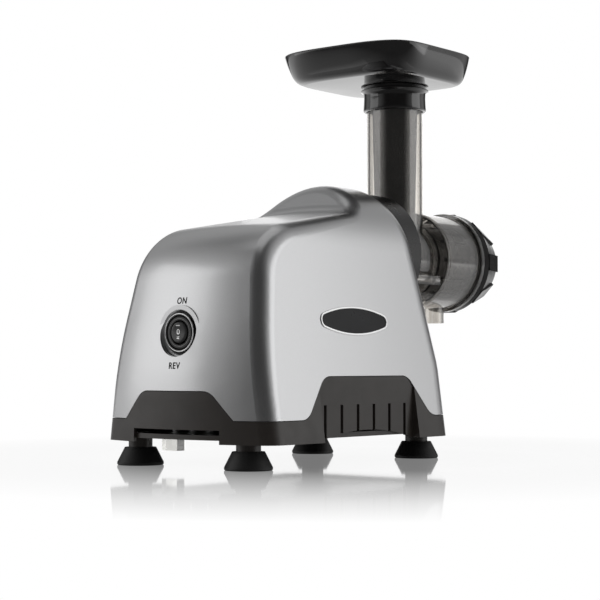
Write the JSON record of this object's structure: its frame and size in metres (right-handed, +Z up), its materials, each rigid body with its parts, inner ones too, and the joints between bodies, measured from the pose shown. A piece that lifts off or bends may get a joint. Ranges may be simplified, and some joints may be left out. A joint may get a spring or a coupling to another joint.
{
  "type": "cold press juicer",
  "caption": "Horizontal cold press juicer with a silver motor housing, rocker switch, smoky clear drum, feed chute with tray and pusher, turning auger and end cap.",
  "frame": {"origin": "on the surface that the feet stand on, under the middle of the bounding box", "axes": "+X toward the drum's end cap, +Y to the machine's left, +Z up"},
  "size_m": [0.4376, 0.1834, 0.3695],
  "materials": {
    "silver_paint": "glossy silver paint",
    "dark_base": "satin moulded plastic",
    "foot_rubber": "satin rubber",
    "screw_steel": "zinc plated",
    "clear_plastic": "clear moulded plastic",
    "black_plastic": "glossy black plastic",
    "lamination_steel": "stacked sheet steel",
    "winding_copper": "enamelled copper",
    "cast_metal": "die cast",
    "shaft_steel": "ground steel",
    "gear_nylon": "moulded nylon",
    "capacitor_shell": "plastic can",
    "seal_rubber": "soft silicone",
    "smoky_clear": "smoky clear plastic",
    "auger_black": "tough dark plastic",
    "gloss_black": "glossy black plastic",
    "nozzle_grey": "dark plastic",
    "pusher_grey": "dark grey plastic"
  },
  "bodies": {
    "machine": {"base_skirt": "dark_base", "bottom_plate": "dark_base", "cord_clip": "clear_plastic", "cord_gland": "foot_rubber", "foot_front_left": "foot_rubber", "foot_front_right": "foot_rubber", "foot_rear_left": "foot_rubber", "foot_rear_right": "foot_rubber", "foot_screws": "screw_steel", "front_plate": "black_plastic", "gear_bearings": "shaft_steel", "gearbox_case": "cast_metal", "gearbox_cover": "cast_metal", "housing_shell": "silver_paint", "motor_bearings": "shaft_steel", "motor_bolts": "screw_steel", "motor_cradle": "cast_metal", "motor_front_bell": "cast_metal", "motor_rear_bell": "cast_metal", "motor_stator": "lamination_steel", "output_seal": "seal_rubber", "run_capacitor": "capacitor_shell", "stator_windings": "winding_copper", "switch_bezel": "black_plastic"},
    "rotor": {"motor_shaft": "shaft_steel", "rotor_core": "lamination_steel", "cooling_fan": "gear_nylon", "motor_pinion": "shaft_steel"},
    "lay_wheels": {"lay_shaft": "shaft_steel", "lay_gear": "gear_nylon", "lay_pinion": "shaft_steel"},
    "drive": {"output_shaft": "shaft_steel", "output_gear": "gear_nylon"},
    "switch_rocker": {"rocker": "black_plastic"},
    "lock": {"lock_clip": "black_plastic"},
    "juicing_drum": {"drum": "smoky_clear", "juicing_screen": "auger_black", "drum_seal": "seal_rubber", "cap_gasket": "seal_rubber"},
    "auger": {"auger_screw": "auger_black", "auger_shaft": "shaft_steel"},
    "end_cap": {"drum_cap": "gloss_black"},
    "outlet_dial": {"nozzle_dial": "nozzle_grey"},
    "tray": {"hopper_tray": "gloss_black"},
    "food_pusher": {"pusher": "pusher_grey"}
  },
  "joints": [
    {"name": "motor_spin", "type": "hinge", "parent": "machine", "child": "rotor", "pos_m": [-0.09355, 0, 0.1256], "axis": [1, 0, 0], "continuous": true},
    {"name": "lay_spin", "type": "hinge", "parent": "machine", "child": "lay_wheels", "pos_m": [-0.03355, 0.02379, 0.15262], "axis": [1, 0, 0], "continuous": true},
    {"name": "drive_spin", "type": "hinge", "parent": "machine", "child": "drive", "pos_m": [0.00645, 0, 0.1816], "axis": [1, 0, 0], "continuous": true},
    {"name": "rocker_tilt", "type": "hinge", "parent": "machine", "child": "switch_rocker", "pos_m": [-0.20793, 0, 0.1085], "axis": [0, 1, 0], "range_deg": [-12, 12]},
    {"name": "lock_turn", "type": "hinge", "parent": "machine", "child": "lock", "pos_m": [0.05025, 0.039, 0.2126], "axis": [1, 0, 0], "range_deg": [0, 90]},
    {"name": "drum_pull", "type": "slide", "parent": "machine", "child": "juicing_drum", "axis": [1, 0, 0], "range_m": [0, 0.08]},
    {"name": "auger_spin", "type": "hinge", "parent": "juicing_drum", "child": "auger", "pos_m": [0.10645, 0, 0.1816], "axis": [1, 0, 0], "continuous": true},
    {"name": "cap_turn", "type": "hinge", "parent": "juicing_drum", "child": "end_cap", "pos_m": [0.18645, 0, 0.1816], "axis": [1, 0, 0], "range_deg": [0, 30]},
    {"name": "dial_turn", "type": "hinge", "parent": "end_cap", "child": "outlet_dial", "pos_m": [0.21445, 0, 0.1816], "axis": [1, 0, 0], "range_deg": [0, 120]},
    {"name": "tray_lift", "type": "slide", "parent": "juicing_drum", "child": "tray", "axis": [0, 0, 1], "range_m": [0, 0.04]},
    {"name": "pusher_lift", "type": "slide", "parent": "tray", "child": "food_pusher", "axis": [0, 0, 1], "range_m": [0, 0.12]}
  ],
  "couplings": [
    {"joint": "lay_spin", "follows": "motor_spin", "ratio": -0.22034},
    {"joint": "drive_spin", "follows": "motor_spin", "ratio": 0.055085},
    {"joint": "auger_spin", "follows": "motor_spin", "ratio": 0.055085}
  ]
}
